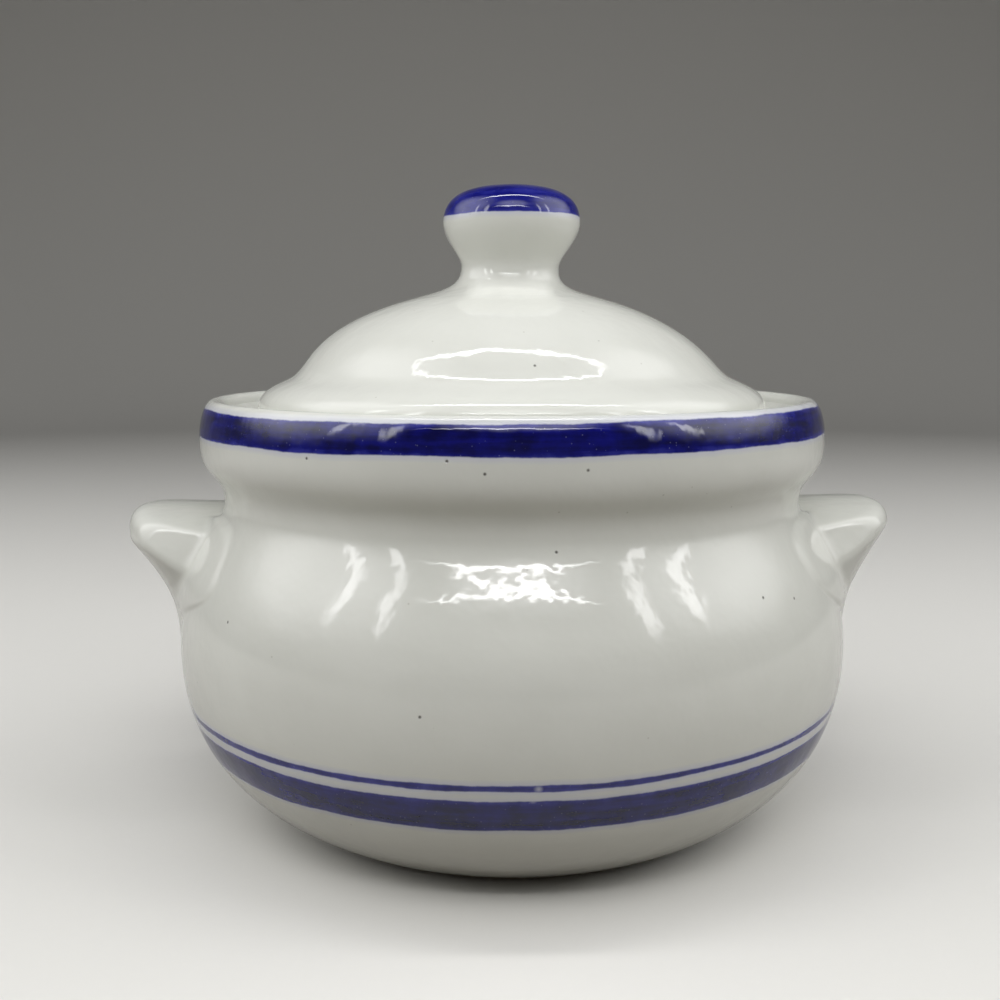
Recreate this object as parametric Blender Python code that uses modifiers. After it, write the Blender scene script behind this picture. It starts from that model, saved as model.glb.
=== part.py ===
"""Lidded stoneware crock: a round-bellied pot with a collar, two lug ears and a domed lid with a knob."""

import math

import bmesh
import bpy

# Pot, outside: radii from the axis and heights from the foot, in metres
FOOT_RADIUS = 0.0535
BELLY_RADIUS = 0.0810
BELLY_HEIGHT = 0.0420
NECK_RADIUS = 0.0698
NECK_HEIGHT = 0.0765
COLLAR_RADIUS = 0.0751
COLLAR_HEIGHT = 0.0910
LIP_RADIUS = 0.0716
LIP_HEIGHT = 0.1004

# Pot, outside: how far each curve runs on in its first direction before it bends
COLLAR_RUN_DOWN = 0.0094
NECK_RUN_UP = 0.0076
NECK_RUN_DOWN = 0.0060
BELLY_RUN_UP = 0.0205
BELLY_RUN_DOWN = 0.0260
FOOT_RUN_OUT = 0.0100
FOOT_RUN_UP = 0.0045

# Pot, underside
FOOT_RING_WIDTH = 0.0065
FOOT_ROUND = 0.0010
FOOT_RECESS = 0.0025

# Pot, inside
WALL = 0.0056
FLOOR_HEIGHT = 0.0078
FLOOR_RADIUS = 0.0380
FLOOR_RUN_OUT = 0.0190
INSIDE_RUN_DOWN = 0.0220
INSIDE_RUN_UP = 0.0200
THROAT_RUN = 0.0070
LIP_INNER_RADIUS = 0.0692
LIP_INNER_DROP = 0.0024
LEDGE_HEIGHT = 0.0940
LEDGE_CORNER_RADIUS = 0.0640
LEDGE_THICKNESS = 0.0040
LEDGE_ROUND = 0.0010
MOUTH_RADIUS = 0.0555

# Lid, outside
FLANGE_RADIUS = 0.0613
FLANGE_EDGE_HEIGHT = 0.0987
FLANGE_RUN_UP = 0.0035
FLANGE_RUN_DOWN = 0.0026
FLANGE_SLOPE = (0.0035, -0.0016)
DOME_RADIUS = 0.0518
DOME_FOOT_HEIGHT = 0.1062
DOME_TOP_HEIGHT = 0.1290
DOME_TOP_RUN = (0.0220, -0.0010)
DOME_FOOT_RUN = (-0.0053, 0.0098)
DOME_FILLET = 0.0022
KNOB_PAD_RADIUS = 0.0158
KNOB_PAD_HEIGHT = 0.1264

# Lid, underside
LID_WALL = 0.0056
FLANGE_SEAT_RADIUS = 0.0590
RING_RADIUS = 0.0545
RING_WIDTH = 0.0045
RING_DROP = 0.0046
RING_ROUND = 0.0015
HOLLOW_SIDE_RUN = (-0.0062, 0.0169)
HOLLOW_TOP_RUN = (0.0270, -0.0015)

# Knob
KNOB_RADIUS = 0.0166
KNOB_WIDEST_HEIGHT = 0.1428
KNOB_TOP_HEIGHT = 0.1516
KNOB_TOP_RUN = 0.0105
KNOB_SIDE_RUN_UP = 0.0060
KNOB_SIDE_RUN_DOWN = 0.0055
KNOB_WAIST_RADIUS = 0.0119
KNOB_WAIST_HEIGHT = 0.1314
KNOB_WAIST_RUN = 0.0029
KNOB_FOOT_RADIUS = 0.0152
KNOB_FOOT_RUN = (-0.0018, 0.0012)

# Lug ears
LUG_REACH = 0.0938
LUG_TOP_HEIGHT = 0.0740
LUG_TIP_ROUND = 0.0038
LUG_UNDER_ANGLE = 45
LUG_UNDER_RUN = 0.0060
LUG_FOOT_RADIUS = 0.0798
LUG_FOOT_HEIGHT = 0.0490
LUG_FOOT_RUN = (0.0038, 0.0085)
LUG_ROOT_RADIUS = 0.0660
LUG_ROOT_HALF_LENGTH = 0.0256
LUG_TIP_HALF_LENGTH = 0.0180
LUG_PLAN_RADIUS = 0.0300
LUG_CROWN_RADIUS = 0.0830
LUG_EDGE_ROUND = 0.0024
LUG_EDGE_ANGLE = 40
LUG_LENGTH_CUTS = 5

# Gap between touching pieces, and the facets of round shapes
SEAT_GAP = 0.0003
MERGE_DISTANCE = 0.00001
TURN_STEPS = 48
KNOB_TURN_STEPS = 32
DOME_STEPS = 14
LONG_CURVE_STEPS = 8
CURVE_STEPS = 6
SHORT_CURVE_STEPS = 4
EDGE_STEPS = 2

# Finish
GLAZE_COLOUR = (0.66, 0.66, 0.60, 1.0)
KNOB_COLOUR = (0.62, 0.62, 0.58, 1.0)
GLAZE_ROUGHNESS = 0.15


def clear_scene():
    for item in list(bpy.data.objects):
        bpy.data.objects.remove(item, do_unlink=True)


def new_collection(name):
    collection = bpy.data.collections.new(name)
    bpy.context.scene.collection.children.link(collection)
    return collection


def glaze(name, colour):
    material = bpy.data.materials.new(name)
    material.use_nodes = True
    shader = material.node_tree.nodes["Principled BSDF"]
    shader.inputs["Base Color"].default_value = colour
    shader.inputs["Roughness"].default_value = GLAZE_ROUGHNESS
    shader.inputs["Metallic"].default_value = 0.0
    return material


def shifted(point, step):
    return (point[0] + step[0], point[1] + step[1])


def curve(start, start_run, end_run, end, steps):
    """Points of a smooth curve that leaves start along start_run and reaches end from end + end_run."""
    corners = (start, shifted(start, start_run), shifted(end, end_run), end)
    points = []
    for step in range(steps + 1):
        t = step / steps
        s = 1.0 - t
        weights = (s ** 3, 3 * s * s * t, 3 * s * t * t, t ** 3)
        points.append(tuple(sum(w * corner[i] for w, corner in zip(weights, corners)) for i in (0, 1)))
    return points


def arc(centre, half_width, half_height, start, end, steps):
    """Points of an ellipse's arc between two angles in degrees."""
    points = []
    for step in range(steps + 1):
        angle = math.radians(start + (end - start) * step / steps)
        points.append(shifted(centre, (half_width * math.cos(angle), half_height * math.sin(angle))))
    return points


def joined(*stretches):
    """One outline from stretches whose end points meet."""
    outline = []
    for stretch in stretches:
        for point in stretch:
            if not outline or math.dist(point, outline[-1]) > MERGE_DISTANCE:
                outline.append(point)
    return outline


def turned(name, outline, steps, collection):
    """A solid of revolution about Z from an outline of (radius, height) points."""
    mesh = bpy.data.meshes.new(name)
    edges = [(i, i + 1) for i in range(len(outline) - 1)]
    mesh.from_pydata([(radius, 0.0, height) for radius, height in outline], edges, [])
    item = bpy.data.objects.new(name, mesh)
    collection.objects.link(item)
    screw = item.modifiers.new("Turn", "SCREW")
    screw.axis = "Z"
    screw.steps = steps
    screw.render_steps = steps
    screw.use_merge_vertices = True
    screw.merge_threshold = MERGE_DISTANCE
    screw.use_smooth_shade = True
    return item


def pot_outer_side():
    """The collar, neck, shoulder and belly, from the lip down to the foot."""
    collar = (COLLAR_RADIUS, COLLAR_HEIGHT)
    neck = (NECK_RADIUS, NECK_HEIGHT)
    belly = (BELLY_RADIUS, BELLY_HEIGHT)
    foot = (FOOT_RADIUS, FOOT_ROUND / 2)
    collar_side = arc((LIP_RADIUS, COLLAR_HEIGHT), COLLAR_RADIUS - LIP_RADIUS, LIP_HEIGHT - COLLAR_HEIGHT,
                      90, 0, CURVE_STEPS)
    collar_under = curve(collar, (0.0, -COLLAR_RUN_DOWN), (0.0, NECK_RUN_UP), neck, LONG_CURVE_STEPS)
    shoulder = curve(neck, (0.0, -NECK_RUN_DOWN), (0.0, BELLY_RUN_UP), belly, LONG_CURVE_STEPS)
    belly_under = curve(belly, (0.0, -BELLY_RUN_DOWN), (FOOT_RUN_OUT, FOOT_RUN_UP), foot, LONG_CURVE_STEPS)
    return joined(collar_side, collar_under, shoulder, belly_under)


def pot_inner_side():
    """The floor, inner wall, lid ledge and inside of the collar, from the axis up to the lip."""
    floor_edge = (FLOOR_RADIUS, FLOOR_HEIGHT)
    belly = (BELLY_RADIUS - WALL, BELLY_HEIGHT)
    neck = (NECK_RADIUS - WALL, NECK_HEIGHT)
    mouth = (MOUTH_RADIUS, LEDGE_HEIGHT - LEDGE_THICKNESS)
    floor = curve(floor_edge, (FLOOR_RUN_OUT, 0.0), (0.0, -INSIDE_RUN_DOWN), belly, CURVE_STEPS)
    wall = curve(belly, (0.0, INSIDE_RUN_UP), (0.0, -THROAT_RUN), neck, CURVE_STEPS)
    throat = curve(neck, (0.0, THROAT_RUN), (0.0, -THROAT_RUN), mouth, SHORT_CURVE_STEPS)
    ledge_edge = arc((MOUTH_RADIUS + LEDGE_ROUND, LEDGE_HEIGHT - LEDGE_ROUND), LEDGE_ROUND, LEDGE_ROUND,
                     180, 90, EDGE_STEPS)
    ledge_corner = (LEDGE_CORNER_RADIUS, LEDGE_HEIGHT)
    lip_inside = arc((LIP_RADIUS, LIP_HEIGHT - LIP_INNER_DROP),
                     LIP_RADIUS - LIP_INNER_RADIUS, LIP_INNER_DROP, 180, 90, SHORT_CURVE_STEPS)
    return joined([(0.0, FLOOR_HEIGHT)], floor, wall, throat, ledge_edge, [ledge_corner], lip_inside)


def pot_underside():
    """The flat foot ring and the recess inside it, from the foot's outer edge to the axis."""
    ring_outer = FOOT_RADIUS - FOOT_ROUND
    ring_inner = ring_outer - FOOT_RING_WIDTH
    recess_edge = (ring_inner - FOOT_RECESS, FOOT_RECESS)
    return [(ring_outer, 0.0), (ring_inner, 0.0), recess_edge, (0.0, FOOT_RECESS)]


def make_pot(material, collection):
    outline = joined(pot_inner_side(), pot_outer_side(), pot_underside())
    item = turned("crock_body", outline, TURN_STEPS, collection)
    item.data.materials.append(material)


def make_pot_clearance(collection):
    """The pot's outside grown by the seat gap and closed to the axis, which cuts the lugs to fit it."""
    side = [(radius + SEAT_GAP, height) for radius, height in pot_outer_side()]
    outline = joined([(0.0, LIP_HEIGHT)], side, [(0.0, side[-1][1])])
    item = turned("pot_clearance", outline, TURN_STEPS, collection)
    item.hide_render = True
    item.display_type = "WIRE"
    return item


def lug_section():
    """The ear's wedge in the XZ plane: flat top, round tip, underside that sweeps in to the pot."""
    tip_centre = (LUG_REACH - LUG_TIP_ROUND, LUG_TOP_HEIGHT - LUG_TIP_ROUND)
    slant = math.radians(LUG_UNDER_ANGLE)
    under_run = (-LUG_UNDER_RUN * math.cos(slant), -LUG_UNDER_RUN * math.sin(slant))
    tip = arc(tip_centre, LUG_TIP_ROUND, LUG_TIP_ROUND, 90, LUG_UNDER_ANGLE - 90, CURVE_STEPS)
    under = curve(tip[-1], under_run, LUG_FOOT_RUN, (LUG_FOOT_RADIUS, LUG_FOOT_HEIGHT), CURVE_STEPS)
    return joined([(LUG_ROOT_RADIUS, LUG_TOP_HEIGHT)], tip, under, [(LUG_ROOT_RADIUS, LUG_FOOT_HEIGHT)])


def lug_mesh(material):
    """The section drawn out from y -1 to 1, then made shorter towards its tip and lower at its two ends."""
    shape = bmesh.new()
    section = shape.faces.new([shape.verts.new((x, -1.0, z)) for x, z in lug_section()])
    drawn = bmesh.ops.extrude_face_region(shape, geom=[section])
    far_end = [item for item in drawn["geom"] if isinstance(item, bmesh.types.BMVert)]
    bmesh.ops.translate(shape, verts=far_end, vec=(0.0, 2.0, 0.0))
    long_edges = [edge for edge in shape.edges if abs(edge.verts[0].co.y - edge.verts[1].co.y) > 1.0]
    bmesh.ops.subdivide_edges(shape, edges=long_edges, cuts=LUG_LENGTH_CUTS)
    for vertex in shape.verts:
        outward = (vertex.co.x - LUG_ROOT_RADIUS) / (LUG_REACH - LUG_ROOT_RADIUS)
        upward = (vertex.co.z - LUG_FOOT_HEIGHT) / (LUG_TOP_HEIGHT - LUG_FOOT_HEIGHT)
        vertex.co.y *= LUG_ROOT_HALF_LENGTH + (LUG_TIP_HALF_LENGTH - LUG_ROOT_HALF_LENGTH) * outward
        vertex.co.x -= outward * (LUG_PLAN_RADIUS - math.sqrt(LUG_PLAN_RADIUS ** 2 - vertex.co.y ** 2))
        vertex.co.z -= upward * vertex.co.y ** 2 / (2 * LUG_CROWN_RADIUS)
    bmesh.ops.recalc_face_normals(shape, faces=shape.faces)
    mesh = bpy.data.meshes.new("lug")
    shape.to_mesh(mesh)
    shape.free()
    mesh.materials.append(material)
    mesh.shade_smooth()
    return mesh


def make_lug(name, mesh, turn, clearance, collection):
    item = bpy.data.objects.new(name, mesh)
    item.rotation_euler = (0.0, 0.0, turn)
    collection.objects.link(item)
    rounding = item.modifiers.new("Round the edges", "BEVEL")
    rounding.width = LUG_EDGE_ROUND
    rounding.segments = EDGE_STEPS
    rounding.limit_method = "ANGLE"
    rounding.angle_limit = math.radians(LUG_EDGE_ANGLE)
    fit = item.modifiers.new("Fit to the pot", "BOOLEAN")
    fit.operation = "DIFFERENCE"
    fit.object = clearance


def lid_top():
    """The knob's flat pad, the dome and the rounded flange, from the axis out to the flange's edge."""
    dome_foot = (DOME_RADIUS, DOME_FOOT_HEIGHT)
    dome = curve((0.0, DOME_TOP_HEIGHT), DOME_TOP_RUN, DOME_FOOT_RUN, dome_foot, DOME_STEPS)
    dome_side = [
        (radius, height) for radius, height in dome
        if radius > KNOB_PAD_RADIUS and height > DOME_FOOT_HEIGHT + DOME_FILLET
    ]
    flange_start = (DOME_RADIUS + DOME_FILLET, DOME_FOOT_HEIGHT - DOME_FILLET / 2)
    flange_edge = (FLANGE_RADIUS, FLANGE_EDGE_HEIGHT)
    flange = curve(flange_start, FLANGE_SLOPE, (0.0, FLANGE_RUN_UP), flange_edge, CURVE_STEPS)
    return joined([(0.0, KNOB_PAD_HEIGHT), (KNOB_PAD_RADIUS, KNOB_PAD_HEIGHT)], dome_side, flange)


def lid_underside():
    """The flange's seat, the locating ring and the hollow under the dome, from the edge in to the axis."""
    seat = LEDGE_HEIGHT + SEAT_GAP
    seat_edge = FLANGE_RADIUS - FLANGE_SEAT_RADIUS
    flange_under = curve((FLANGE_RADIUS, FLANGE_EDGE_HEIGHT), (0.0, -FLANGE_RUN_DOWN), (seat_edge, 0.0),
                         (FLANGE_SEAT_RADIUS, seat), SHORT_CURVE_STEPS)
    ring_inner = RING_RADIUS - RING_WIDTH
    ring_height = seat - RING_DROP + RING_ROUND
    ring_outside = arc((RING_RADIUS - RING_ROUND, ring_height), RING_ROUND, RING_ROUND, 0, -90, EDGE_STEPS)
    ring_inside = arc((ring_inner + RING_ROUND, ring_height), RING_ROUND, RING_ROUND, -90, -180, EDGE_STEPS)
    hollow_top = (0.0, KNOB_PAD_HEIGHT - LID_WALL)
    hollow = curve((ring_inner, seat), HOLLOW_SIDE_RUN, HOLLOW_TOP_RUN, hollow_top, LONG_CURVE_STEPS)
    return joined(flange_under, [(RING_RADIUS, seat)], ring_outside, ring_inside, hollow)


def make_lid(material, collection):
    item = turned("lid", joined(lid_top(), lid_underside()), TURN_STEPS, collection)
    item.data.materials.append(material)
    return item


def make_knob(material, collection):
    top = (0.0, KNOB_TOP_HEIGHT)
    widest = (KNOB_RADIUS, KNOB_WIDEST_HEIGHT)
    waist = (KNOB_WAIST_RADIUS, KNOB_WAIST_HEIGHT)
    foot = (KNOB_FOOT_RADIUS, KNOB_PAD_HEIGHT + SEAT_GAP)
    cap = curve(top, (KNOB_TOP_RUN, 0.0), (0.0, KNOB_SIDE_RUN_UP), widest, LONG_CURVE_STEPS)
    stem = curve(widest, (0.0, -KNOB_SIDE_RUN_DOWN), (0.0, KNOB_WAIST_RUN), waist, CURVE_STEPS)
    flare = curve(waist, (0.0, -KNOB_WAIST_RUN), KNOB_FOOT_RUN, foot, SHORT_CURVE_STEPS)
    item = turned("lid_knob", joined(cap, stem, flare, [(0.0, foot[1])]), KNOB_TURN_STEPS, collection)
    item.data.materials.append(material)
    return item


def main():
    clear_scene()
    parts = new_collection("lidded_stoneware_crock")
    cutters = new_collection("cutters")
    pale_glaze = glaze("pale_grey_glaze", GLAZE_COLOUR)
    knob_glaze = glaze("knob_glaze", KNOB_COLOUR)
    make_pot(pale_glaze, parts)
    clearance = make_pot_clearance(cutters)
    ear = lug_mesh(pale_glaze)
    make_lug("right_lug", ear, 0.0, clearance, parts)
    make_lug("left_lug", ear, math.pi, clearance, parts)
    lid = make_lid(pale_glaze, parts)
    knob = make_knob(knob_glaze, parts)
    knob.parent = lid


main()
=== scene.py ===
"""Looks of the lidded stoneware crock: banded pot, two lug ears, domed lid and knob under one pale glaze."""

import math

import bmesh
import bpy
import numpy as np
from mathutils import Matrix, Vector, noise
from mathutils.geometry import interpolate_bezier, normal


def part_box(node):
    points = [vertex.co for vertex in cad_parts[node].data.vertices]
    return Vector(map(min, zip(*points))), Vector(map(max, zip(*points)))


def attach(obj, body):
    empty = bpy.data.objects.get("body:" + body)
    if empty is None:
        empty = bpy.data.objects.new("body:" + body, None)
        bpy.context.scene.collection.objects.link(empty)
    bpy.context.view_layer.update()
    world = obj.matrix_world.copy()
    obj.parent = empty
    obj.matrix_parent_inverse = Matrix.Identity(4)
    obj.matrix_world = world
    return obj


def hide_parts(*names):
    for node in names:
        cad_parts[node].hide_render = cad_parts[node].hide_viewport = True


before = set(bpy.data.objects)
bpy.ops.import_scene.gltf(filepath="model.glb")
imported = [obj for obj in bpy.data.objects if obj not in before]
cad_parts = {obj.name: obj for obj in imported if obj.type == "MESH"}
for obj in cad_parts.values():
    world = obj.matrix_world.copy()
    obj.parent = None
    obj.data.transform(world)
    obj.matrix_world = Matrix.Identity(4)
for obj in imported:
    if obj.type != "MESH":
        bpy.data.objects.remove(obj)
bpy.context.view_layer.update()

MM = 0.001

# Sizes that the frame gives
BELLY_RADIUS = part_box("crock_body")[1].y
LIP_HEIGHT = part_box("crock_body")[1].z
FLANGE_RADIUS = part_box("lid")[1].y
KNOB_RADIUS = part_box("lid_knob")[1].y
KNOB_TOP_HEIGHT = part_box("lid_knob")[1].z
EAR_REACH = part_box("right_lug")[1].x

# Pot, outside. A run is how far a curve goes on in its first direction before it bends.
FOOT_RADIUS = 53.5 * MM
BELLY_HEIGHT = 42.0 * MM
NECK_RADIUS = 69.8 * MM
NECK_HEIGHT = 76.5 * MM
COLLAR_RADIUS = 75.1 * MM
COLLAR_HEIGHT = 91.0 * MM
LIP_RADIUS = 71.6 * MM
COLLAR_RUN_DOWN = 9.4 * MM
NECK_RUN_UP = 7.6 * MM
NECK_RUN_DOWN = 6.0 * MM
BELLY_RUN_UP = 20.5 * MM
BELLY_RUN_DOWN = 26.0 * MM
FOOT_RUN = (10.0 * MM, 4.5 * MM)

# Pot, underside
FOOT_RING_WIDTH = 6.5 * MM
FOOT_ROUND = 1.0 * MM
FOOT_RECESS = 2.5 * MM
RECESS_RUN = 5.0 * MM

# Pot, inside
WALL = 5.6 * MM
FLOOR_HEIGHT = 7.8 * MM
FLOOR_RADIUS = 38.0 * MM
FLOOR_RUN = 12.0 * MM
FLOOR_EDGE_RUN = 19.0 * MM
INSIDE_RUN_DOWN = 22.0 * MM
INSIDE_RUN_UP = 20.0 * MM
THROAT_RUN = 7.0 * MM
LIP_INNER_RADIUS = 69.2 * MM
LIP_INNER_DROP = 2.4 * MM
LEDGE_HEIGHT = 94.0 * MM
LEDGE_CORNER_RADIUS = 64.0 * MM
LEDGE_THICKNESS = 4.0 * MM
LEDGE_ROUND = 1.0 * MM
LEDGE_FILLET = 1.6 * MM
MOUTH_RADIUS = 55.5 * MM

# Lid
DOME_TOP_HEIGHT = 128.0 * MM
DOME_TOP_RUN = (22.45 * MM, -2.33 * MM)
DOME_SIDE_RADIUS = 49.0 * MM
DOME_SIDE_HEIGHT = 109.5 * MM
DOME_SIDE_RUN_UP = (-9.07 * MM, 10.98 * MM)
DOME_SIDE_RUN_DOWN = (2.51 * MM, -3.04 * MM)
FLANGE_INNER_RADIUS = 53.9 * MM
FLANGE_INNER_HEIGHT = 104.9 * MM
FLANGE_RUN_IN = (-1.73 * MM, 0.8 * MM)
FLANGE_RUN_OUT = (2.59 * MM, -1.19 * MM)
FLANGE_EDGE_HEIGHT = 98.7 * MM
FLANGE_EDGE_RUN_UP = 3.4 * MM
FLANGE_EDGE_RUN_DOWN = 2.6 * MM
FLANGE_SEAT_RADIUS = 59.0 * MM
SEAT_HEIGHT = 94.3 * MM
RING_RADIUS = 54.5 * MM
RING_WIDTH = 4.5 * MM
RING_DROP = 4.6 * MM
RING_ROUND = 1.5 * MM
HOLLOW_HEIGHT = 120.8 * MM
HOLLOW_FOOT_RUN = (-6.2 * MM, 16.9 * MM)
HOLLOW_TOP_RUN = (27.0 * MM, -1.5 * MM)
LEAN = 1.3 * MM
LEAN_HEIGHT = 119.0 * MM
LEAN_REACH = 11.0 * MM

# Knob
KNOB_CAP_DROP = 0.75 * MM
KNOB_CAP_RUN = 9.8 * MM
KNOB_WIDEST_HEIGHT = 142.1 * MM
KNOB_RUN_UP = 7.0 * MM
KNOB_RUN_DOWN = 4.3 * MM
KNOB_WAIST_RADIUS = 11.86 * MM
KNOB_WAIST_HEIGHT = 131.5 * MM
KNOB_WAIST_RUN_UP = 2.65 * MM
KNOB_WAIST_RUN_DOWN = 4.77 * MM
KNOB_FLARE_RADIUS = 24.7 * MM
KNOB_FLARE_HEIGHT = 123.5 * MM
KNOB_FLARE_RUN = (-9.48 * MM, 2.77 * MM)
KNOB_ROOT_HEIGHT = 122.5 * MM

# Lug ears: a tongue with a round tip and a crowned top, cut by a flat facet at each end
EAR_PLAN_RADIUS = 30.0 * MM
EAR_CROWN_RADIUS = 83.0 * MM
EAR_TOP_SLOPE = 0.02
EAR_TOP_MIDDLE = 80.0 * MM
EAR_FOOT_HEIGHT = 42.0 * MM
EAR_FOOT_DEPTH = 0.6 * MM
EAR_FOOT_RUN = (5.4 * MM, 19.0 * MM)
EAR_TIP_RUN = 2.8 * MM
EAR_TAIL = (8.0 * MM, 12.0 * MM)
EAR_HEADROOM = 20.0 * MM
EAR_FACET = [Vector(corner) * MM for corner in ((88.0, 17.5, 71.5), (75.5, 25.0, 63.0), (72.0, 24.0, 69.5))]
EAR_TIP_ROUND = 5.0 * MM
EAR_EDGE_ROUND = 0.9 * MM
EAR_FILLET = 4.0 * MM
EAR_FILLET_TOP = 68.0 * MM
EAR_FILLET_FADE = 6.0 * MM
EAR_SINK = 0.2 * MM
EAR_SINK_START = 0.85
EAR_SINK_LENGTH = 3.5 * MM
EAR_BACK_DEPTH = 2.5 * MM

# Clay smeared in strokes from the ear's ends onto the shoulder, thick at the ear and thin at its own edge
SMEAR_START = 10.0 * MM
SMEAR_RISE = 12.0 * MM
SMEAR_LOWEST = 45.0 * MM
SMEAR_TAPER = 18.0 * MM
SMEAR_WIDTH = 9.5 * MM
SMEAR_DEPTH = 2.0 * MM
SMEAR_EDGE = 0.5 * MM
SMEAR_THINNEST = 0.1 * MM
SMEAR_SWAY = 1.5 * MM
SMEAR_STROKE = 5.0 * MM
SMEAR_CORNER = 9.0 * MM
SMEAR_ROUND = 1.2 * MM
SMEAR_CREASE = 1.2 * MM
SMEAR_FEATHER = 0.9 * MM

# The two ears were shaped by hand and differ: reach, height of the top and height of the furthest point
RIGHT_EAR = (EAR_REACH - 0.3 * MM, 74.8 * MM, 70.9 * MM)
LEFT_EAR = (EAR_REACH, 74.0 * MM, 67.5 * MM)

# Where the ear's surface is looked for: rays that fan out from a level arc inside the pot
EAR_FAN_RADIUS = 50.0 * MM
EAR_FAN_HEIGHT = 65.0 * MM
EAR_FAN_SIDE = math.radians(40)
EAR_FAN_LOW = math.radians(-50)
EAR_FAN_HIGH = math.radians(38)
EAR_FAN_REACH = 55.0 * MM
EAR_HALVINGS = 20
EAR_COLUMNS = 190
EAR_ROWS = 165

# Fineness of the turned pieces, and how far out of round hand work leaves them
PROFILE_STEP = 0.9 * MM
FEWEST_STEPS = 6
TURN_STEPS = 220
MERGE_DISTANCE = 0.001 * MM
SHARP_ANGLE = math.radians(40)
QUARTER_RUN = 0.5523
UNEVEN_DEPTH = 0.16 * MM
UNEVEN_LENGTH = 24.0 * MM
UNEVEN_CORE = 20.0 * MM

# Painted bands: lower and upper edge, how far the brush ran off level to the right, and its load of cobalt
RIM_BAND = (93.0 * MM, 99.1 * MM, math.tan(math.radians(0.37)), 1.0)
THIN_BAND = (30.3 * MM, 31.6 * MM, math.tan(math.radians(0.7)), 0.8)
WIDE_BAND = (21.2 * MM, 28.2 * MM, math.tan(math.radians(0.7)), 1.0)
KNOB_BAND = (143.3 * MM, 170.0 * MM, 0.0, 0.6)

# Brush work: how far a band wanders, widens, frays and bleeds, over what length, and the marks inside it
SWAY, SWAY_LENGTH = 0.9 * MM, 30.0 * MM
PRESS, PRESS_LENGTH = 0.18 * MM, 17.0 * MM
FRAY, FRAY_LENGTH = 0.3 * MM, 2.0 * MM
EDGE_INSIDE, EDGE_OUTSIDE = 0.2 * MM, 0.16 * MM
BLEED = 1.3 * MM
POOLED_WIDTH = 1.2 * MM
STREAK_LENGTH, STREAK_WIDTH = 14.0 * MM, 1.2 * MM
MOTTLE_SIZE = 3.5 * MM
BUBBLE_SPACING = 1.2 * MM
SKIP_CORE, SKIP_REACH = 0.1 * MM, 1.0 * MM

# Glaze: thicker patches, iron specks and gloss, then the relief of its skin, its pinholes and the bare clay
CLOUD_SIZE = 26.0 * MM
SPECK_SPACING = 7.0 * MM
GLOSS_SIZE = 9.0 * MM
SWELL_DEPTH, SWELL_SIZE = 0.28 * MM, 12.0 * MM
TURNING_DEPTH, TURNING_LENGTH, TURNING_SPACING = 0.008 * MM, 50.0 * MM, 2.6 * MM
PEEL_DEPTH, PEEL_SIZE = 0.008 * MM, 1.6 * MM
PINHOLE_DEPTH, PINHOLE_CORE, PINHOLE_REACH = 0.15 * MM, 0.12 * MM, 0.42 * MM
GRAIN_SIZE = 1.1 * MM
BARE_WANDER, BARE_FADE = 0.5 * MM, 0.25 * MM
BARE_FOOT_HEIGHT = 0.7 * MM
BARE_SEAT_HEIGHT = SEAT_HEIGHT + 0.2 * MM
GLAZE_IOR = 1.52

# Turn from the front in degrees, and height: skips of the brush, and pinholes in the glaze
BRUSH_SKIPS = ((1.6, 30.9 * MM), (0.9, 28.6 * MM))
POT_PINHOLES = (
    (-34.2, 91.6 * MM), (-11.3, 92.2 * MM), (8.8, 90.5 * MM), (-5.9, 89.9 * MM), (4.9, 74.3 * MM),
    (39.9, 62.6 * MM), (48.0, 60.8 * MM), (-50.6, 56.1 * MM), (-14.3, 44.7 * MM),
)
LID_PINHOLES = ((52.6, 120.6 * MM), (22.8, 114.4 * MM), (33.6, 113.5 * MM), (3.4, 109.2 * MM))
FARTHEST = 1.0

# The view: the camera stands in front, a little to the left of the pot's front
CAMERA_DISTANCE = 288.5 * MM
CAMERA_HEIGHT = 115.6 * MM
CAMERA_TURN = math.radians(2.15)
CAMERA_YAW = math.radians(0.56)
CAMERA_PITCH = math.radians(8.12)
CAMERA_LENS = 41.94
CAMERA_SENSOR = 36.0
CAMERA_NEAREST = 10.0 * MM

# Studio: a round sweep of paper, and lamps with their place, width and depth in metres and power in watts
COVE_RADIUS = 1.2
COVE_BEND = 0.5
COVE_HEIGHT = 2.4
COVE_STEPS = 64
COVE_BEND_STEPS = 12
FIBRE_SIZE = 2.5 * MM
PAPER_IN_GLAZE = 0.75
OVERHEAD_STRIP = ((0.0, -0.035, 0.62), (0.80, 0.05), 2.5)
FRONT_STRIP = ((-0.02, -0.50, 0.52), (0.80, 0.035), 1.7)
FRONT_PANEL = ((0.0, -0.60, 0.80), (1.0, 0.6), 5.0)
SIDE_PANEL = ((0.72, -0.08, 0.66), (1.5, 1.3), 14.0)
SIDE_FILL = ((0.80, 0.05, 0.35), (0.8, 0.6), 0.5)
STRIP_TURNS = (math.radians(46), math.radians(64))
STRIP_DISTANCE = 0.65
STRIP_HEIGHT = 0.468
STRIP_SIZE = (0.09, 0.46)
STRIP_POWER = 0.75
LAMP_CORE, LAMP_EDGE = 0.15, 0.5
SKY_STRENGTH = 0.05


# Turned outlines

def at(radius, height):
    return Vector((radius, 0.0, height))


def bend(start, start_run, end_run, end):
    """Points of a smooth curve that leaves start along start_run and reaches end from end + end_run."""
    steps = max(FEWEST_STEPS, math.ceil((end - start).length / PROFILE_STEP))
    return interpolate_bezier(start, start + start_run, end + end_run, end, steps)


def quarter(start, corner, end):
    """A quarter of an ellipse from start to end, whose tangents meet at corner."""
    return bend(start, (corner - start) * QUARTER_RUN, (corner - end) * QUARTER_RUN, end)


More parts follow.
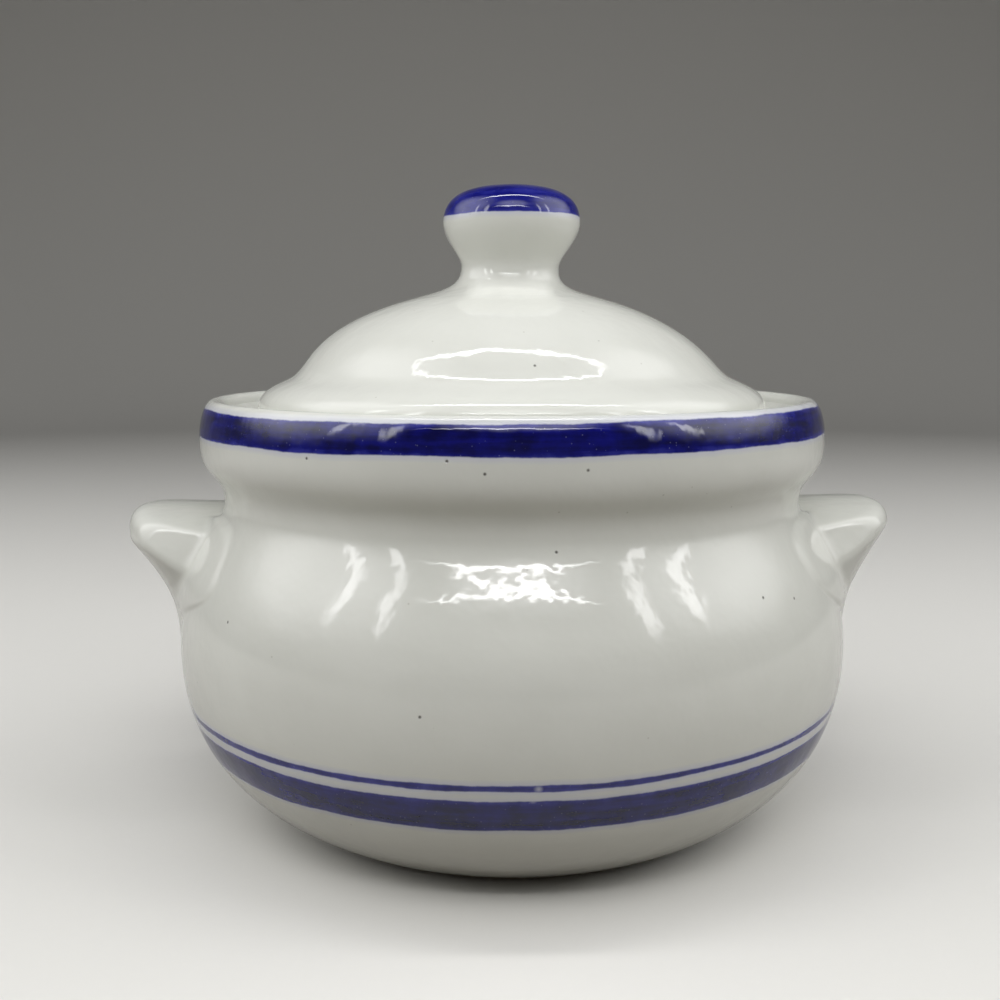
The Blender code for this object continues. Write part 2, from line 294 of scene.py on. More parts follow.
def pot_outer_side():
    """The collar, neck, shoulder and belly, from the lip down to the foot."""
    collar = at(COLLAR_RADIUS, COLLAR_HEIGHT)
    neck = at(NECK_RADIUS, NECK_HEIGHT)
    belly = at(BELLY_RADIUS, BELLY_HEIGHT)
    foot = at(FOOT_RADIUS, FOOT_ROUND / 2)
    return (
        quarter(at(LIP_RADIUS, LIP_HEIGHT), at(COLLAR_RADIUS, LIP_HEIGHT), collar)
        + bend(collar, at(0, -COLLAR_RUN_DOWN), at(0, NECK_RUN_UP), neck)
        + bend(neck, at(0, -NECK_RUN_DOWN), at(0, BELLY_RUN_UP), belly)
        + bend(belly, at(0, -BELLY_RUN_DOWN), at(*FOOT_RUN), foot)
    )


def pot_inner_side():
    """The floor, inner wall, lid ledge and inside of the collar, from the axis up to the lip."""
    floor_edge = at(FLOOR_RADIUS, FLOOR_HEIGHT)
    belly = at(BELLY_RADIUS - WALL, BELLY_HEIGHT)
    neck = at(NECK_RADIUS - WALL, NECK_HEIGHT)
    mouth = at(MOUTH_RADIUS, LEDGE_HEIGHT - LEDGE_THICKNESS)
    ledge_edge = at(MOUTH_RADIUS, LEDGE_HEIGHT)
    ledge_corner = at(LEDGE_CORNER_RADIUS, LEDGE_HEIGHT)
    lip_edge = at(LIP_INNER_RADIUS, LIP_HEIGHT - LIP_INNER_DROP)
    wall_up = (lip_edge - ledge_corner).normalized()
    return (
        bend(at(0, FLOOR_HEIGHT), at(FLOOR_RUN, 0), at(-FLOOR_RUN, 0), floor_edge)
        + bend(floor_edge, at(FLOOR_EDGE_RUN, 0), at(0, -INSIDE_RUN_DOWN), belly)
        + bend(belly, at(0, INSIDE_RUN_UP), at(0, -THROAT_RUN), neck)
        + bend(neck, at(0, THROAT_RUN), at(0, -THROAT_RUN), mouth)
        + quarter(ledge_edge - at(0, LEDGE_ROUND), ledge_edge, ledge_edge + at(LEDGE_ROUND, 0))
        + quarter(ledge_corner - at(LEDGE_FILLET, 0), ledge_corner, ledge_corner + wall_up * LEDGE_FILLET)
        + quarter(lip_edge, at(LIP_INNER_RADIUS, LIP_HEIGHT), at(LIP_RADIUS, LIP_HEIGHT))
    )


def pot_underside():
    """The foot's rounded edge, its flat ring and the recess inside it, from the foot in to the axis."""
    ring_outer = FOOT_RADIUS - FOOT_ROUND
    ring_inner = ring_outer - FOOT_RING_WIDTH
    recess_edge = at(ring_inner - FOOT_RECESS, FOOT_RECESS)
    return (
        quarter(at(FOOT_RADIUS, FOOT_ROUND / 2), at(FOOT_RADIUS - FOOT_ROUND / 2, 0), at(ring_outer, 0))
        + quarter(at(ring_inner, 0), at(ring_inner - FOOT_ROUND, 0), recess_edge)
        + bend(recess_edge, at(-RECESS_RUN, 0), at(RECESS_RUN, 0), at(0, FOOT_RECESS))
    )


def lid_top():
    """The dome, the hollow curve at its foot and the round flange, from the axis to the flange's edge."""
    dome_side = at(DOME_SIDE_RADIUS, DOME_SIDE_HEIGHT)
    flange_inner = at(FLANGE_INNER_RADIUS, FLANGE_INNER_HEIGHT)
    flange_edge = at(FLANGE_RADIUS, FLANGE_EDGE_HEIGHT)
    return (
        bend(at(0, DOME_TOP_HEIGHT), at(*DOME_TOP_RUN), at(*DOME_SIDE_RUN_UP), dome_side)
        + bend(dome_side, at(*DOME_SIDE_RUN_DOWN), at(*FLANGE_RUN_IN), flange_inner)
        + bend(flange_inner, at(*FLANGE_RUN_OUT), at(0, FLANGE_EDGE_RUN_UP), flange_edge)
    )


def lid_underside():
    """The flange's seat, the locating ring and the hollow under the dome, from the edge in to the axis."""
    flange_edge = at(FLANGE_RADIUS, FLANGE_EDGE_HEIGHT)
    flange_seat = at(FLANGE_SEAT_RADIUS, SEAT_HEIGHT)
    seat_run = at(FLANGE_RADIUS - FLANGE_SEAT_RADIUS, 0)
    ring_outer = at(RING_RADIUS, SEAT_HEIGHT - RING_DROP)
    ring_inner = at(RING_RADIUS - RING_WIDTH, SEAT_HEIGHT - RING_DROP)
    ring_root = at(RING_RADIUS, SEAT_HEIGHT)
    hollow_foot = at(RING_RADIUS - RING_WIDTH, SEAT_HEIGHT)
    return (
        bend(flange_edge, at(0, -FLANGE_EDGE_RUN_DOWN), seat_run, flange_seat)
        + quarter(ring_root + at(RING_ROUND, 0), ring_root, ring_root - at(0, RING_ROUND))
        + quarter(ring_outer + at(0, RING_ROUND), ring_outer, ring_outer - at(RING_ROUND, 0))
        + quarter(ring_inner + at(RING_ROUND, 0), ring_inner, ring_inner + at(0, RING_ROUND))
        + bend(hollow_foot, at(*HOLLOW_FOOT_RUN), at(*HOLLOW_TOP_RUN), at(0, HOLLOW_HEIGHT))
    )


def knob_outline():
    """The rounded cap, the waist and the flare that runs out onto the dome, from the top down to the root."""
    top = at(0, KNOB_TOP_HEIGHT - KNOB_CAP_DROP)
    widest = at(KNOB_RADIUS, KNOB_WIDEST_HEIGHT)
    waist = at(KNOB_WAIST_RADIUS, KNOB_WAIST_HEIGHT)
    flare = at(KNOB_FLARE_RADIUS, KNOB_FLARE_HEIGHT)
    return (
        bend(top, at(KNOB_CAP_RUN, 0), at(0, KNOB_RUN_UP), widest)
        + bend(widest, at(0, -KNOB_RUN_DOWN), at(0, KNOB_WAIST_RUN_UP), waist)
        + bend(waist, at(0, -KNOB_WAIST_RUN_DOWN), at(*KNOB_FLARE_RUN), flare)
        + [at(KNOB_FLARE_RADIUS, KNOB_ROOT_HEIGHT), at(0, KNOB_ROOT_HEIGHT)]
    )


# Meshes

def uneven(shape):
    """Draws the clay in by a hair here and there, so that nothing is perfectly round."""
    for vertex in shape.verts:
        drawn_in = UNEVEN_DEPTH * (1 - noise.noise(vertex.co / UNEVEN_LENGTH)) / 2
        share = 1 - drawn_in / max(vertex.co.xy.length, UNEVEN_CORE)
        vertex.co.x *= share
        vertex.co.y *= share


def lean(shape):
    """Pushes the lid's dome a little to the left of the middle, as it was thrown."""
    for vertex in shape.verts:
        vertex.co.x -= LEAN * math.exp(-((vertex.co.z - LEAN_HEIGHT) / LEAN_REACH) ** 2)


def finished_piece(name, shape, materials):
    mesh = bpy.data.meshes.new(name)
    shape.to_mesh(mesh)
    shape.free()
    for material in materials:
        mesh.materials.append(material)
    mesh.shade_smooth()
    mesh.set_sharp_from_angle(angle=SHARP_ANGLE)
    piece = bpy.data.objects.new(name, mesh)
    bpy.context.scene.collection.objects.link(piece)
    return piece


def spun(shape, outline, steps):
    """Turns an outline once about Z."""
    points = [shape.verts.new(point) for point in outline]
    edges = [shape.edges.new(pair) for pair in zip(points, points[1:])]
    bmesh.ops.spin(shape, geom=points + edges, axis=(0, 0, 1), angle=math.tau, steps=steps, use_merge=True)


def turned(outlines):
    """A closed shape of outlines that follow on from each other and end on the axis, one material each."""
    shape = bmesh.new()
    for index, outline in enumerate(outlines):
        before = set(shape.faces)
        spun(shape, outline, TURN_STEPS)
        for face in set(shape.faces) - before:
            face.material_index = index
    bmesh.ops.remove_doubles(shape, verts=shape.verts, dist=MERGE_DISTANCE)
    bmesh.ops.recalc_face_normals(shape, faces=shape.faces)
    uneven(shape)
    return shape


# Lug ears

SIDE = pot_outer_side()[::-1]
SIDE = [point for point, above in zip(SIDE, SIDE[1:]) if above.z - point.z > MERGE_DISTANCE]
SIDE_HEIGHTS = np.array([point.z for point in SIDE])
SIDE_RADII = np.array([point.x for point in SIDE])
SIDE_SLOPES = np.gradient(SIDE_RADII, SIDE_HEIGHTS)


def lower(a, b, blend):
    """The lower of two distances, run together over a stretch as long as blend."""
    overlap = np.maximum(blend - np.abs(a - b), 0.0)
    return np.minimum(a, b) - overlap * overlap / (4 * blend)


def higher(a, b, blend):
    return -lower(-a, -b, blend)


def eased(share):
    """From 0 to 1 with a soft start and end."""
    share = np.clip(share, 0.0, 1.0)
    return share * share * (3 - 2 * share)


def pot_distance(x, y, z):
    """How far a point is outside the pot's shoulder."""
    steepness = np.interp(z, SIDE_HEIGHTS, SIDE_SLOPES)
    return (np.hypot(x, y) - np.interp(z, SIDE_HEIGHTS, SIDE_RADII)) / np.sqrt(1 + steepness ** 2)


def ear_section(reach, furthest):
    """Heights, reaches and slopes of the ear's middle: upright at the tip, then drawn in to the belly."""
    tip = at(reach, furthest)
    foot_reach = np.interp(EAR_FOOT_HEIGHT, SIDE_HEIGHTS, SIDE_RADII) - EAR_FOOT_DEPTH
    foot = at(foot_reach, EAR_FOOT_HEIGHT)
    under = bend(foot, at(*EAR_FOOT_RUN), at(0, -EAR_TIP_RUN), tip)
    points = [foot - at(*EAR_TAIL)] + under + [tip + at(0, EAR_HEADROOM)]
    heights = np.array([point.z for point in points])
    reaches = np.array([point.x for point in points])
    return heights, reaches, np.gradient(reaches, heights)


def ear_distance(hand, x, y, z):
    """How far a point is outside an ear's tongue, whose edges are rounded."""
    reach, top_height, furthest = hand
    heights, reaches, slopes = ear_section(reach, furthest)
    middle = np.interp(z, heights, reaches) - EAR_PLAN_RADIUS
    steepness = np.interp(z, heights, slopes)
    outer = (np.hypot(x - middle, y) - EAR_PLAN_RADIUS) / np.sqrt(1 + steepness ** 2)
    top = z - top_height - EAR_TOP_SLOPE * (x - EAR_TOP_MIDDLE) + y * y / (2 * EAR_CROWN_RADIUS)
    facing = normal(EAR_FACET)
    facet = x * facing.x + abs(y) * facing.y + z * facing.z - facing.dot(EAR_FACET[0])
    return higher(higher(top, outer, EAR_TIP_ROUND), facet, EAR_EDGE_ROUND)


def ear_skin(hand, x, y, z):
    """Negative in the clay of the ear, its smeared ends and a shoulder that dips under the pot's skin."""
    ear = ear_distance(hand, x, y, z)
    pot = pot_distance(x, y, z)
    ends = eased((abs(y) - SMEAR_START) / SMEAR_RISE)
    stroke = np.sin((z + y / 2 - hand[2]) / SMEAR_STROKE)
    width = (SMEAR_WIDTH + SMEAR_SWAY * stroke) * ends * eased((z - SMEAR_LOWEST) / SMEAR_TAPER)
    edge = SMEAR_THINNEST + (SMEAR_EDGE - SMEAR_THINNEST) * (1 + stroke) / 2
    fall = (SMEAR_DEPTH - edge) / np.maximum(width, SMEAR_EDGE)
    slope = (pot - SMEAR_DEPTH + fall * ear) / np.sqrt(1 + fall ** 2)
    smear = higher(slope, higher(ear - width, z - hand[1], SMEAR_CORNER), SMEAR_ROUND)
    clay = lower(ear, smear, SMEAR_CREASE)
    crisp = np.maximum(ends, eased((z - EAR_FILLET_TOP) / EAR_FILLET_FADE))
    fillet = EAR_FILLET + (SMEAR_FEATHER - EAR_FILLET) * crisp
    sink = EAR_SINK * eased((clay - fillet * EAR_SINK_START) / EAR_SINK_LENGTH)
    return lower(pot + sink, clay, fillet)


def ear_back(hand, x, y, z):
    return pot_distance(x, y, z) + EAR_BACK_DEPTH


def way_out(skin, hand, starts, ways):
    """The points where rays from starts along ways leave the clay that skin describes."""
    near = np.zeros((len(starts), 1))
    far = np.full((len(starts), 1), EAR_FAN_REACH)
    for _ in range(EAR_HALVINGS):
        middle = (near + far) / 2
        inside = skin(hand, *(starts + ways * middle).T)[:, None] < 0
        near = np.where(inside, middle, near)
        far = np.where(inside, far, middle)
    return starts + ways * near


def ear_shape(hand, turn):
    """An ear: a grid laid on its skin, with a second one behind it in the pot's wall to close it."""
    shape = bmesh.new()
    bmesh.ops.create_grid(shape, x_segments=EAR_COLUMNS, y_segments=EAR_ROWS, size=1.0)
    drawn = bmesh.ops.extrude_face_region(shape, geom=shape.faces[:])
    front = {item for item in drawn["geom"] if isinstance(item, bmesh.types.BMVert)}
    back = set(shape.verts) - front
    for verts, skin in ((front, ear_skin), (back, ear_back)):
        sides = np.array([vertex.co.x for vertex in verts]) * EAR_FAN_SIDE
        share = np.array([vertex.co.y for vertex in verts]) / 2 + 0.5
        rises = EAR_FAN_LOW + (EAR_FAN_HIGH - EAR_FAN_LOW) * share
        level = np.stack([np.cos(sides), np.sin(sides), np.zeros(len(sides))], axis=1)
        starts = level * EAR_FAN_RADIUS + (0, 0, EAR_FAN_HEIGHT)
        ways = level * np.cos(rises)[:, None] + np.outer(np.sin(rises), (0, 0, 1))
        for vertex, place in zip(verts, way_out(skin, hand, starts, ways)):
            vertex.co = place
    bmesh.ops.recalc_face_normals(shape, faces=shape.faces)
    bmesh.ops.rotate(shape, verts=shape.verts, cent=(0, 0, 0), matrix=Matrix.Rotation(turn, 3, "Z"))
    uneven(shape)
    return shape


# Materials

def linear(hex_colour):
    """The linear colour of an sRGB hex value."""
    shares = [int(hex_colour[i:i + 2], 16) / 255 for i in (1, 3, 5)]
    return [s / 12.92 if s <= 0.04045 else ((s + 0.055) / 1.055) ** 2.4 for s in shares] + [1.0]


def per(size):
    """The texture scale whose features are about this large."""
    return 1 / size


def add(tree, kind, inputs=None, **settings):
    """Adds a node with its settings, and gives each input a value or a link from another node's output.
    Inputs go by name, or by number on nodes whose inputs share their names."""
    item = tree.nodes.new("ShaderNode" + kind)
    for setting, value in settings.items():
        setattr(item, setting, value)
    for key, value in (inputs or {}).items():
        if isinstance(value, bpy.types.NodeSocket):
            tree.links.new(value, item.inputs[key])
        else:
            item.inputs[key].default_value = value
    return item


def new_material(name):
    material = bpy.data.materials.new(name)
    material.use_nodes = True
    material.node_tree.nodes.clear()
    return material, material.node_tree


GLAZE_WHITE = linear("#dcddd7")
GLAZE_GREY = linear("#d0d1ca")
COBALT_HALO = linear("#b4b8d6")
COBALT_THIN = linear("#343796")
COBALT = linear("#0d106c")
COBALT_THICK = linear("#070840")
# Painted shade inside the pinholes, darker than the bare clay
PINHOLE_SHADE = linear("#37302a")
SPECK = linear("#8f897c")
BARE_CLAY = linear("#c8b498")
GROG = linear("#9c8768")
PAPER_SEEN = linear("#dcdbd7")
PAPER_BOUNCE = linear("#8f8b84")
SKY = linear("#f4f5f7")


def on_skin(marks, outline):
    """The places of marks on a turned skin, given as turn from the front and height, mirrored to +Y."""
    heights = [point.z for point in reversed(outline)]
    radii = [point.x for point in reversed(outline)]
    places = []
    for turn, height in marks:
        radius = np.interp(height, heights, radii)
        places.append((radius * math.sin(math.radians(turn)), radius * math.cos(math.radians(turn)), height))
    return places


def nearest(tree, spot, places):
    """Distance from the spot being shaded to the nearest of these places; the far side has them too."""
    parts = add(tree, "SeparateXYZ", {0: spot})
    depth = add(tree, "Math", {0: parts.outputs[1]}, operation="ABSOLUTE")
    folded = add(tree, "CombineXYZ", {0: parts.outputs[0], 1: depth.outputs[0], 2: parts.outputs[2]})
    found = FARTHEST
    for place in places:
        gap = add(tree, "VectorMath", {0: folded.outputs[0], 1: place}, operation="DISTANCE")
        found = add(tree, "Math", {0: gap.outputs["Value"], 1: found}, operation="MINIMUM").outputs[0]
    return found


def cloudy_colour(tree, spot):
    """Glaze that is thicker and greyer in patches, with faint iron specks."""
    cloud = add(tree, "TexNoise", {"Vector": spot, "Scale": per(CLOUD_SIZE), "Detail": 3.0,
                                   "Roughness": 0.55})
    patchy = add(tree, "Mix", {0: cloud.outputs[0], 6: GLAZE_GREY, 7: GLAZE_WHITE}, data_type="RGBA")
    specks = add(tree, "TexVoronoi", {"Vector": spot, "Scale": per(SPECK_SPACING)})
    speck = add(tree, "MapRange", {"Value": specks.outputs["Distance"], "From Min": 0.01, "From Max": 0.04,
                                   "To Min": 0.45, "To Max": 0.0})
    specked = add(tree, "Mix", {0: speck.outputs[0], 6: patchy.outputs[2], 7: SPECK}, data_type="RGBA")
    return specked.outputs[2]


def band_distance(tree, spot, band):
    """How far the spot being shaded is outside a band, whose middle wanders and whose edges fray."""
    low, high, tilt, _ = band
    parts = add(tree, "SeparateXYZ", {0: spot})
    sway = add(tree, "TexNoise", {"Vector": spot, "Scale": per(SWAY_LENGTH), "Detail": 2.0})
    press = add(tree, "TexNoise", {"Vector": spot, "Scale": per(PRESS_LENGTH), "Detail": 2.0})
    fray = add(tree, "TexNoise", {"Vector": spot, "Scale": per(FRAY_LENGTH), "Detail": 3.0})
    wander = add(tree, "Math", {0: sway.outputs[0], 1: SWAY, 2: parts.outputs[2]}, operation="MULTIPLY_ADD")
    level = add(tree, "Math", {0: parts.outputs[0], 1: -tilt, 2: wander.outputs[0]}, operation="MULTIPLY_ADD")
    offset = add(tree, "Math", {0: level.outputs[0], 1: (low + high + SWAY) / 2}, operation="SUBTRACT")
    away = add(tree, "Math", {0: offset.outputs[0]}, operation="ABSOLUTE")
    squeeze = add(tree, "MapRange", {"Value": press.outputs[0], "From Min": 0.3, "From Max": 0.7,
                                     "To Min": PRESS, "To Max": -PRESS})
    ragged = add(tree, "Math", {0: fray.outputs[0], 1: FRAY, 2: squeeze.outputs[0]}, operation="MULTIPLY_ADD")
    edge = add(tree, "Math", {0: ragged.outputs[0], 1: (low - high - FRAY) / 2}, operation="ADD")
    return add(tree, "Math", {0: away.outputs[0], 1: edge.outputs[0]}, operation="ADD").outputs[0]


def cobalt_paint(tree, spot, beyond, load):
    """Brushed cobalt: streaky and mottled, thin at the edges of a band, with pale bubbles above it."""
    stretch = (per(STREAK_LENGTH), per(STREAK_LENGTH), per(STREAK_WIDTH))
    stretched = add(tree, "Mapping", {"Vector": spot, "Scale": stretch})
    streak = add(tree, "TexNoise", {"Vector": stretched.outputs[0], "Scale": 1.0, "Detail": 3.0})
    mottle = add(tree, "TexNoise", {"Vector": spot, "Scale": per(MOTTLE_SIZE), "Detail": 4.0})
    mixed = add(tree, "Mix", {0: 0.5, 2: streak.outputs[0], 3: mottle.outputs[0]}, data_type="FLOAT")
    charge = add(tree, "MapRange", {"Value": mixed.outputs[0], "From Min": 0.38, "From Max": 0.64})
    depth = add(tree, "MapRange", {"Value": beyond, "From Min": -POOLED_WIDTH, "From Max": 0.0,
                                   "To Min": 0.5 * load, "To Max": 0.0})
    tone = add(tree, "Math", {0: charge.outputs[0], 1: 0.6 * load, 2: depth.outputs[0]},
               operation="MULTIPLY_ADD")
    ramp = add(tree, "ValToRGB", {0: tone.outputs[0]})
    ramp.color_ramp.elements[0].color = COBALT_THIN
    ramp.color_ramp.elements[1].color = COBALT_THICK
    ramp.color_ramp.elements.new(0.55).color = COBALT
    bubbles = add(tree, "TexVoronoi", {"Vector": spot, "Scale": per(BUBBLE_SPACING)})
    bubble = add(tree, "MapRange", {"Value": bubbles.outputs["Distance"], "From Min": 0.04, "From Max": 0.15,
                                    "To Min": 0.18, "To Max": 0.0})
    paint = add(tree, "Mix", {0: bubble.outputs[0], 6: ramp.outputs[0], 7: COBALT_HALO}, data_type="RGBA")
    return paint.outputs[2]


def banded_colour(tree, spot, colour, band, skips):
    """Lays a band over a colour: its pale bleed, then its paint, which is thin where the brush skipped."""
    beyond = band_distance(tree, spot, band)
    halo = add(tree, "MapRange", {"Value": beyond, "From Min": 0.0, "From Max": BLEED,
                                  "To Min": 0.5, "To Max": 0.0})
    cover = add(tree, "MapRange", {"Value": beyond, "From Min": -EDGE_INSIDE, "From Max": EDGE_OUTSIDE,
                                   "To Min": 1.0, "To Max": 0.0}, interpolation_type="SMOOTHSTEP").outputs[0]
    if skips:
        skip = add(tree, "MapRange", {"Value": nearest(tree, spot, skips), "From Min": SKIP_CORE,
                                      "From Max": SKIP_REACH, "To Min": 0.3, "To Max": 1.0})
        cover = add(tree, "Math", {0: cover, 1: skip.outputs[0]}, operation="MULTIPLY").outputs[0]
    paint = cobalt_paint(tree, spot, beyond, band[-1])
    bled = add(tree, "Mix", {0: halo.outputs[0], 6: colour, 7: COBALT_HALO}, data_type="RGBA")
    return add(tree, "Mix", {0: cover, 6: bled.outputs[2], 7: paint}, data_type="RGBA").outputs[2]


def fired_skin(tree, spot):
    """The slow swells and fine peel of a fired glaze over faint turning rings."""
    stretch = (per(TURNING_LENGTH), per(TURNING_LENGTH), per(TURNING_SPACING))
    around = add(tree, "Mapping", {"Vector": spot, "Scale": stretch})
    swell = add(tree, "TexNoise", {"Vector": spot, "Scale": per(SWELL_SIZE), "Detail": 3.0,
                                   "Roughness": 0.52})
    rings = add(tree, "TexNoise", {"Vector": around.outputs[0], "Scale": 1.0, "Detail": 1.0})
    peel = add(tree, "TexNoise", {"Vector": spot, "Scale": per(PEEL_SIZE), "Detail": 1.0})
    skin = add(tree, "Bump", {"Height": swell.outputs[0], "Strength": 1.0, "Distance": SWELL_DEPTH})
    for relief, depth in ((rings, TURNING_DEPTH), (peel, PEEL_DEPTH)):
        skin = add(tree, "Bump", {"Height": relief.outputs[0], "Strength": 1.0, "Distance": depth,
                                  "Normal": skin.outputs[0]})
    return skin.outputs[0]


def stoneware_glaze(name, bands=(), skips=(), pinholes=(), bare_below=None):
    """Pale grey-white stoneware glaze, dipped and fired: glossy, a little wavy, with pinholes and specks.
    Cobalt bands are brushed under it, and below bare_below the rough clay is left unglazed."""
    material, tree = new_material(name)
    spot = add(tree, "TexCoord").outputs["Object"]
    colour = cloudy_colour(tree, spot)
    for band in bands:
        colour = banded_colour(tree, spot, colour, band, skips)
    sheen = add(tree, "TexNoise", {"Vector": spot, "Scale": per(GLOSS_SIZE), "Detail": 2.0})
    roughness = add(tree, "MapRange", {"Value": sheen.outputs[0], "From Min": 0.3, "From Max": 0.7,
                                       "To Min": 0.035, "To Max": 0.08}).outputs[0]
    skin = fired_skin(tree, spot)

    # Pinholes: pits where a bubble broke through, pressed in by a bump and coloured dark as painted shade
    # inside each pit
    if pinholes:
        pit_and_shade = add(tree, "MapRange", {"Value": nearest(tree, spot, pinholes), "From Min": PINHOLE_CORE,
                                     "From Max": PINHOLE_REACH, "To Min": 0.9, "To Max": 0.0}).outputs[0]
        colour = add(tree, "Mix", {0: pit_and_shade, 6: colour, 7: PINHOLE_SHADE}, data_type="RGBA").outputs[2]
        skin = add(tree, "Bump", {"Height": pit_and_shade, "Strength": 1.0, "Distance": -PINHOLE_DEPTH,
                                  "Normal": skin}).outputs[0]

    # Bare clay where the ware stood in the kiln
    if bare_below:
        height = add(tree, "SeparateXYZ", {0: spot}).outputs[2]
        grain = add(tree, "TexNoise", {"Vector": spot, "Scale": per(GRAIN_SIZE), "Detail": 5.0,
                                       "Roughness": 0.7})
        clay = add(tree, "Mix", {0: grain.outputs[0], 6: GROG, 7: BARE_CLAY}, data_type="RGBA").outputs[2]
        line = add(tree, "Math", {0: grain.outputs[0], 1: BARE_WANDER, 2: height}, operation="MULTIPLY_ADD")
        bare = add(tree, "MapRange", {"Value": line.outputs[0], "From Min": bare_below,
                                      "From Max": bare_below + BARE_FADE,
                                      "To Min": 1.0, "To Max": 0.0}).outputs[0]
        colour = add(tree, "Mix", {0: bare, 6: colour, 7: clay}, data_type="RGBA").outputs[2]
        roughness = add(tree, "Mix", {0: bare, 2: roughness, 3: 0.78}, data_type="FLOAT").outputs[0]

    shader = add(tree, "BsdfPrincipled", {"Base Color": colour, "Roughness": roughness, "IOR": GLAZE_IOR,
                                          "Normal": skin})
    add(tree, "OutputMaterial", {"Surface": shader.outputs[0]})
    return material


def studio_paper():
    """Matt studio paper: pale and even, with a faint fibre. The camera sees it paler than the crock does."""
    material, tree = new_material("pale_studio_paper")
    spot = add(tree, "TexCoord").outputs["Object"]
    fibre = add(tree, "TexNoise", {"Vector": spot, "Scale": per(FIBRE_SIZE), "Detail": 4.0})
    tone = add(tree, "MapRange", {"Value": fibre.outputs[0], "To Min": 0.985, "To Max": 1.0})
    ray = add(tree, "LightPath").outputs
    seen = add(tree, "Math", {0: ray["Is Glossy Ray"], 1: PAPER_IN_GLAZE, 2: ray["Is Camera Ray"]},
               operation="MULTIPLY_ADD")
    paper = add(tree, "Mix", {0: seen.outputs[0], 6: PAPER_BOUNCE, 7: PAPER_SEEN}, data_type="RGBA")
    colour = add(tree, "Mix", {0: 1.0, 6: paper.outputs[2], 7: tone.outputs[0]}, data_type="RGBA",
                 blend_type="MULTIPLY")
    shader = add(tree, "BsdfPrincipled", {"Base Color": colour.outputs[2], "Roughness": 0.9})
    add(tree, "OutputMaterial", {"Surface": shader.outputs[0]})
    return material


# The crock

plain_glaze = stoneware_glaze("pale_stoneware_glaze")
pot_glaze = stoneware_glaze(
    "cobalt_banded_stoneware_glaze",
    bands=(RIM_BAND, THIN_BAND, WIDE_BAND),
    skips=on_skin(BRUSH_SKIPS, pot_outer_side()),
    pinholes=on_skin(POT_PINHOLES, pot_outer_side()),
    bare_below=BARE_FOOT_HEIGHT,
)
lid_glaze = stoneware_glaze(
    "pale_stoneware_glaze_on_lid",
    pinholes=on_skin(LID_PINHOLES, lid_top()),
    bare_below=BARE_SEAT_HEIGHT,
)
knob_glaze = stoneware_glaze("cobalt_capped_stoneware_glaze", bands=(KNOB_BAND,))

pot_clay = turned((pot_inner_side(), pot_outer_side() + pot_underside()))
lid_clay = turned((lid_top() + lid_underside(),))
knob_clay = turned((knob_outline(),))
lean(lid_clay)
lean(knob_clay)
pot = finished_piece("glazed_pot", pot_clay, (plain_glaze, pot_glaze))
right_ear = finished_piece("right_ear", ear_shape(RIGHT_EAR, 0.0), (plain_glaze,))
left_ear = finished_piece("left_ear", ear_shape(LEFT_EAR, math.pi), (plain_glaze,))
lid = finished_piece("domed_lid", lid_clay, (lid_glaze,))
knob = finished_piece("waisted_knob", knob_clay, (knob_glaze,))

for piece, node, body, slot in (
    (pot, "crock_body", "pot", "pale_glaze"),
    (right_ear, "right_lug", "pot", "pale_glaze"),
    (left_ear, "left_lug", "pot", "pale_glaze"),
    (lid, "lid", "lid_with_knob", "pale_glaze"),
    (knob, "lid_knob", "lid_with_knob", "knob_glaze"),
):
    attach(piece, body)
    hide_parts(node)


# Floor, light and camera

def studio_cove():
    """A round sweep of paper: a floor that bends up into a wall on every side."""
    shape = bmesh.new()
    floor_edge = at(COVE_RADIUS, 0)
    wall_foot = at(COVE_RADIUS + COVE_BEND, COVE_BEND)
    floor_run = floor_edge + at(COVE_BEND * QUARTER_RUN, 0)
    wall_run = wall_foot - at(0, COVE_BEND * QUARTER_RUN)
    sweep = interpolate_bezier(floor_edge, floor_run, wall_run, wall_foot, COVE_BEND_STEPS)
    spun(shape, [at(0, 0)] + sweep + [at(COVE_RADIUS + COVE_BEND, COVE_HEIGHT)], COVE_STEPS)
    bmesh.ops.remove_doubles(shape, verts=shape.verts, dist=MERGE_DISTANCE)
    return finished_piece("studio_cove", shape, (studio_paper(),))


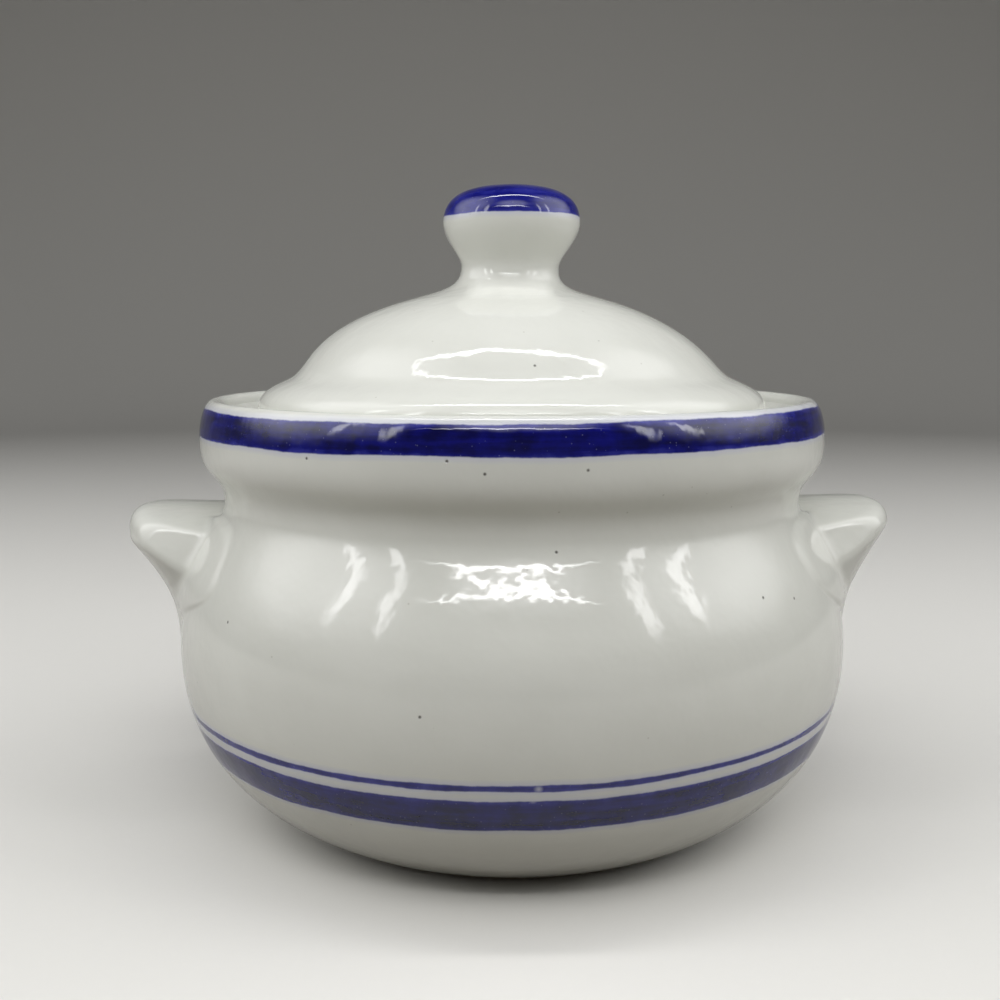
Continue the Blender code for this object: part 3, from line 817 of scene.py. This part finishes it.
def soft_light(name, place, size, watts, aim):
    """A panel of light that fades out towards its edges, so that it leaves no hard outline in the glaze."""
    lamp = bpy.data.lights.new(name, "AREA")
    lamp.shape = "RECTANGLE"
    lamp.size, lamp.size_y = size
    lamp.energy = watts
    lamp.use_nodes = True
    tree = lamp.node_tree
    spot = add(tree, "NewGeometry").outputs["Parametric"]
    away = add(tree, "VectorMath", {0: spot, 1: (0.5, 0.5, 0.0)}, operation="DISTANCE")
    fade = add(tree, "MapRange", {"Value": away.outputs["Value"], "From Min": LAMP_CORE,
                                  "From Max": LAMP_EDGE, "To Min": 1.0, "To Max": 0.0},
               interpolation_type="SMOOTHSTEP")
    tree.links.new(fade.outputs[0], tree.nodes["Emission"].inputs["Strength"])
    item = bpy.data.objects.new(name, lamp)
    item.location = place
    item.rotation_euler = (Vector(aim) - Vector(place)).to_track_quat("-Z", "Y").to_euler()
    bpy.context.scene.collection.objects.link(item)


def soft_lights():
    """Strips and panels over and in front of the crock, and the same set of lamps on each side of it."""
    middle = (0.0, 0.0, LIP_HEIGHT / 2)
    overhead_x, overhead_y, _ = OVERHEAD_STRIP[0]
    soft_light("overhead_strip", *OVERHEAD_STRIP, (overhead_x, overhead_y, 0.0))
    soft_light("front_strip", *FRONT_STRIP, middle)
    soft_light("front_panel", *FRONT_PANEL, middle)
    for side in (-1, 1):
        for name, (place, size, watts) in (("side_panel", SIDE_PANEL), ("side_fill", SIDE_FILL)):
            soft_light(name, (side * place[0], place[1], place[2]), size, watts, middle)
        for turn in STRIP_TURNS:
            across = side * STRIP_DISTANCE * math.sin(turn)
            place = (across, -STRIP_DISTANCE * math.cos(turn), STRIP_HEIGHT)
            soft_light("side_strip", place, STRIP_SIZE, STRIP_POWER, middle)


def even_sky():
    world = bpy.data.worlds.new("even_sky")
    world.use_nodes = True
    background = world.node_tree.nodes["Background"]
    background.inputs["Color"].default_value = SKY
    background.inputs["Strength"].default_value = SKY_STRENGTH
    bpy.context.scene.world = world


def photo_camera():
    camera = bpy.data.cameras.new("photo_camera")
    camera.lens = CAMERA_LENS
    camera.sensor_width = CAMERA_SENSOR
    camera.clip_start = CAMERA_NEAREST
    item = bpy.data.objects.new("photo_camera", camera)
    item.location = (
        -CAMERA_DISTANCE * math.sin(CAMERA_TURN),
        -CAMERA_DISTANCE * math.cos(CAMERA_TURN),
        CAMERA_HEIGHT,
    )
    item.rotation_euler = (math.pi / 2 - CAMERA_PITCH, 0.0, CAMERA_YAW - CAMERA_TURN)
    bpy.context.scene.collection.objects.link(item)
    bpy.context.scene.camera = item


studio_cove()
soft_lights()
even_sky()
photo_camera()

bpy.context.scene.view_settings.view_transform = "Standard"
